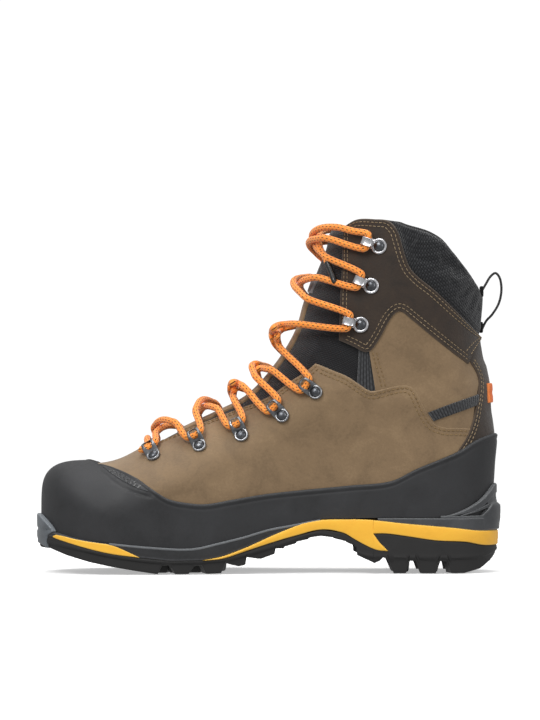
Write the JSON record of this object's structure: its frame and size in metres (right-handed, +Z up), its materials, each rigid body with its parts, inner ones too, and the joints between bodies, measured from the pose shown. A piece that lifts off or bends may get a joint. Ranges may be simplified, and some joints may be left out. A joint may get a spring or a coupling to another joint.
{
  "type": "mountaineering boot",
  "caption": "Lace-up leather mountaineering boot with a rubber rand, padded collar, stiff lugged sole and heel ledge for a crampon.",
  "frame": {"origin": "centre of the bounding box on the ground under the lugs", "axes": "+Z up, -X toward the toe, -Y toward the inner side of a right boot"},
  "size_m": [0.3063, 0.1103, 0.2324],
  "materials": {
    "outsole_rubber": "matt moulded rubber",
    "midsole_dark": "matt moulded",
    "foam_yellow": "fine moulded foam",
    "clip_grey": "moulded polyurethane",
    "shank_steel": "sprung strip",
    "board_fibre": "pressed fibre",
    "footbed_foam": "felt over foam",
    "stiffener": "moulded sheet",
    "nubuck_tan": "waxed nubuck",
    "rand_rubber": "fine matt rubber",
    "leather_brown": "dark nubuck",
    "tab_orange": "soft moulded",
    "webbing_grey": "ribbed webbing",
    "stretch_black": "stretch weave",
    "tongue_fabric": "woven",
    "strip_leather": "nubuck",
    "label_grey": "plain patch",
    "lining_fabric": "knitted",
    "collar_textile": "coarse weave over foam",
    "binding_black": "folded tape",
    "loop_webbing": "flat webbing",
    "metal_dark": "gunmetal",
    "metal_bright": "nickel",
    "lace_orange": "braided, with dark flecks",
    "aglet_black": "shrunk tube"
  },
  "bodies": {
    "foot": {"outsole": "outsole_rubber", "midsole_forefoot": "midsole_dark", "midsole_toe_insert": "foam_yellow", "midsole_arch_heel": "foam_yellow", "toe_bumper": "clip_grey", "heel_frame": "clip_grey", "shank": "shank_steel", "lasting_board": "board_fibre", "toe_puff": "stiffener", "heel_counter": "stiffener", "vamp": "nubuck_tan", "rand": "rand_rubber", "rand_toe_inset": "rand_rubber", "tongue_lower": "tongue_fabric", "lining_foot": "lining_fabric", "eyelet_loops": "metal_dark", "eyelet_rivets": "metal_bright", "lock_hooks": "metal_dark", "lace_lower": "lace_orange", "ankle_gusset": "stretch_black", "gusset_webbing": "webbing_grey", "tongue_flex": "tongue_fabric", "tongue_strip": "strip_leather", "lining_flex": "lining_fabric", "lace_flex": "lace_orange"},
    "cuff": {"rear_quarter": "nubuck_tan", "heel_stay": "leather_brown", "heel_tab": "tab_orange", "side_strap": "webbing_grey", "tongue_upper": "tongue_fabric", "tongue_label": "label_grey", "lining_cuff": "lining_fabric", "cuff_leather": "leather_brown", "collar_padding": "collar_textile", "collar_binding": "binding_black", "pull_loop_anchor": "loop_webbing", "speed_hooks": "metal_bright", "hook_rivets": "metal_bright", "lace_upper": "lace_orange", "aglets": "aglet_black"},
    "pull_loop": {"pull_loop": "loop_webbing"},
    "footbed": {"footbed": "footbed_foam"}
  },
  "joints": [
    {"name": "ankle_flex", "type": "hinge", "parent": "foot", "child": "cuff", "pos_m": [0.0805, 0, 0.103], "axis": [0, -1, 0], "range_deg": [-6, 15], "stiffness_Nm_per_rad": 8, "deforming": ["ankle_gusset", "gusset_webbing", "tongue_flex", "tongue_strip", "lining_flex", "lace_flex", "rear_quarter", "heel_stay", "side_strap"]},
    {"name": "loop_swing", "type": "hinge", "parent": "cuff", "child": "pull_loop", "pos_m": [0.1437, 0, 0.1735], "axis": [-0.04, 0, 0.9992], "range_deg": [-30, 30], "stiffness_Nm_per_rad": 0.01},
    {"name": "footbed_lift", "type": "hinge", "parent": "foot", "child": "footbed", "pos_m": [-0.1385, -0.0085, 0.0295], "axis": [0, -1, 0], "range_deg": [0, 8]}
  ]
}
